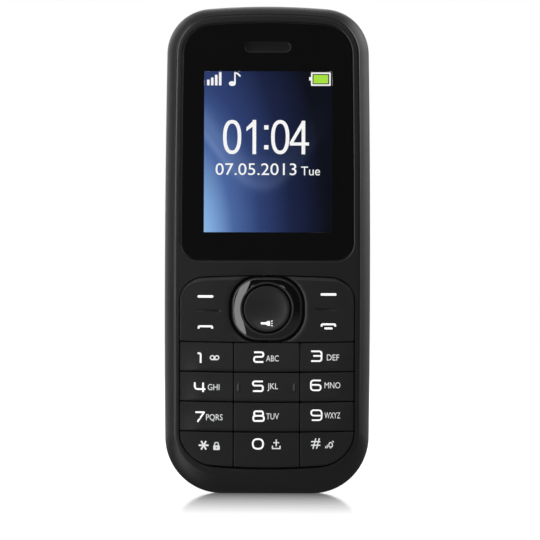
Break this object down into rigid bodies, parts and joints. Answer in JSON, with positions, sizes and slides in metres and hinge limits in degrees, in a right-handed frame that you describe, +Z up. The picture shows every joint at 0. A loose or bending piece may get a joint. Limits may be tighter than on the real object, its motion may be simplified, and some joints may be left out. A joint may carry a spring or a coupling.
{
  "type": "candybar phone",
  "caption": "Slim bar-shaped mobile phone with a colour screen, tilting navigation ring, number keys and a pull-off back over its battery.",
  "frame": {"origin": "centre of the footprint at the lower edge, with the phone standing upright", "axes": "+X to the right as seen from the front, the screen and keys face -Y, +Z up along the phone"},
  "size_m": [0.0444, 0.013, 0.1053],
  "materials": {
    "front_shell": "fine satin",
    "back_shell": "fine satin",
    "chassis": "matte",
    "window": "gloss",
    "gasket": "matte foam",
    "mesh": "dark woven",
    "black_plastic": "moulded",
    "white_plastic": "moulded",
    "screen": "lit",
    "flex": "amber film",
    "film": "clear film",
    "silicone": "matte",
    "board": "solder mask",
    "steel": "plated",
    "gold": "plated",
    "lens": "clear",
    "led": "gloss",
    "weight": "sintered",
    "battery": "printed label over metal case",
    "ring": "gloss",
    "keys": "fine satin"
  },
  "bodies": {
    "root": {"front_housing": "front_shell", "rear_housing": "chassis", "housing_screws": "steel", "display_window": "window", "window_gasket": "gasket", "earpiece_mesh": "mesh", "earpiece_speaker": "black_plastic", "lcd_gasket": "gasket", "lcd_panel": "screen", "backlight_frame": "white_plastic", "display_flex": "flex", "snap_domes": "steel", "dome_sheet": "film", "keypad_mat": "silicone", "main_board": "board", "headphone_jack": "black_plastic", "micro_usb_socket": "steel", "torch_lens": "lens", "torch_led": "led", "vibration_motor": "steel", "loudspeaker_mesh": "mesh", "loudspeaker": "black_plastic", "microphone": "steel", "microphone_boot": "silicone", "battery_connector": "black_plastic", "battery_contacts": "gold", "antenna_carrier": "black_plastic", "antenna": "gold", "shield_can_radio": "steel", "chip_radio": "black_plastic", "shield_can_baseband": "steel", "chip_baseband": "black_plastic", "sim_socket_left": "steel", "sim_socket_right": "steel", "memory_card_socket": "steel"},
    "cover": {"battery_cover": "back_shell"},
    "battery": {"battery": "battery"},
    "ring_carrier": {"nav_ring_carrier": "white_plastic"},
    "ring": {"nav_ring": "ring"},
    "center_key": {"nav_center_key": "keys"},
    "function_left": {"function_key_left": "keys"},
    "function_right": {"function_key_right": "keys"},
    "weight": {"vibration_weight": "weight"},
    "key_1": {"key_1": "keys"},
    "key_2": {"key_2": "keys"},
    "key_3": {"key_3": "keys"},
    "key_4": {"key_4": "keys"},
    "key_5": {"key_5": "keys"},
    "key_6": {"key_6": "keys"},
    "key_7": {"key_7": "keys"},
    "key_8": {"key_8": "keys"},
    "key_9": {"key_9": "keys"},
    "key_star": {"key_star": "keys"},
    "key_0": {"key_0": "keys"},
    "key_hash": {"key_hash": "keys"}
  },
  "joints": [
    {"name": "cover_pull", "type": "slide", "parent": "root", "child": "cover", "axis": [0, 1, 0], "range_m": [0, 0.03]},
    {"name": "battery_pull", "type": "slide", "parent": "root", "child": "battery", "axis": [0, 1, 0], "range_m": [0, 0.015]},
    {"name": "ring_tilt_up_down", "type": "hinge", "parent": "root", "child": "ring_carrier", "pos_m": [0, -0.00435, 0.0399], "axis": [1, 0, 0], "range_deg": [-2, 2], "stiffness_Nm_per_rad": 0.2},
    {"name": "ring_tilt_left_right", "type": "hinge", "parent": "ring_carrier", "child": "ring", "pos_m": [0, -0.00435, 0.0399], "axis": [0, 0, 1], "range_deg": [-2, 2], "stiffness_Nm_per_rad": 0.2},
    {"name": "center_key_press", "type": "slide", "parent": "root", "child": "center_key", "axis": [0, 1, 0], "range_m": [0, 0.0003], "stiffness_N_per_m": 4000, "springref_m": -0.0001},
    {"name": "function_left_rock", "type": "hinge", "parent": "root", "child": "function_left", "pos_m": [-0.0126, -0.0043, 0.0399], "axis": [1, 0, 0], "range_deg": [-2, 2], "stiffness_Nm_per_rad": 0.2},
    {"name": "function_right_rock", "type": "hinge", "parent": "root", "child": "function_right", "pos_m": [0.0126, -0.0043, 0.0399], "axis": [1, 0, 0], "range_deg": [-2, 2], "stiffness_Nm_per_rad": 0.2},
    {"name": "weight_spin", "type": "hinge", "parent": "root", "child": "weight", "pos_m": [-0.0164, 0.00105, 0.0947], "axis": [0, 0, 1], "continuous": true},
    {"name": "key_1_press", "type": "slide", "parent": "root", "child": "key_1", "axis": [0, 1, 0], "range_m": [0, 0.0003], "stiffness_N_per_m": 4000, "springref_m": -0.0001},
    {"name": "key_2_press", "type": "slide", "parent": "root", "child": "key_2", "axis": [0, 1, 0], "range_m": [0, 0.0003], "stiffness_N_per_m": 4000, "springref_m": -0.0001},
    {"name": "key_3_press", "type": "slide", "parent": "root", "child": "key_3", "axis": [0, 1, 0], "range_m": [0, 0.0003], "stiffness_N_per_m": 4000, "springref_m": -0.0001},
    {"name": "key_4_press", "type": "slide", "parent": "root", "child": "key_4", "axis": [0, 1, 0], "range_m": [0, 0.0003], "stiffness_N_per_m": 4000, "springref_m": -0.0001},
    {"name": "key_5_press", "type": "slide", "parent": "root", "child": "key_5", "axis": [0, 1, 0], "range_m": [0, 0.0003], "stiffness_N_per_m": 4000, "springref_m": -0.0001},
    {"name": "key_6_press", "type": "slide", "parent": "root", "child": "key_6", "axis": [0, 1, 0], "range_m": [0, 0.0003], "stiffness_N_per_m": 4000, "springref_m": -0.0001},
    {"name": "key_7_press", "type": "slide", "parent": "root", "child": "key_7", "axis": [0, 1, 0], "range_m": [0, 0.0003], "stiffness_N_per_m": 4000, "springref_m": -0.0001},
    {"name": "key_8_press", "type": "slide", "parent": "root", "child": "key_8", "axis": [0, 1, 0], "range_m": [0, 0.0003], "stiffness_N_per_m": 4000, "springref_m": -0.0001},
    {"name": "key_9_press", "type": "slide", "parent": "root", "child": "key_9", "axis": [0, 1, 0], "range_m": [0, 0.0003], "stiffness_N_per_m": 4000, "springref_m": -0.0001},
    {"name": "key_star_press", "type": "slide", "parent": "root", "child": "key_star", "axis": [0, 1, 0], "range_m": [0, 0.0003], "stiffness_N_per_m": 4000, "springref_m": -0.0001},
    {"name": "key_0_press", "type": "slide", "parent": "root", "child": "key_0", "axis": [0, 1, 0], "range_m": [0, 0.0003], "stiffness_N_per_m": 4000, "springref_m": -0.0001},
    {"name": "key_hash_press", "type": "slide", "parent": "root", "child": "key_hash", "axis": [0, 1, 0], "range_m": [0, 0.0003], "stiffness_N_per_m": 4000, "springref_m": -0.0001}
  ],
  "couplings": [
    {"joint": "battery_pull", "follows": "cover_pull", "ratio": 0.5}
  ]
}
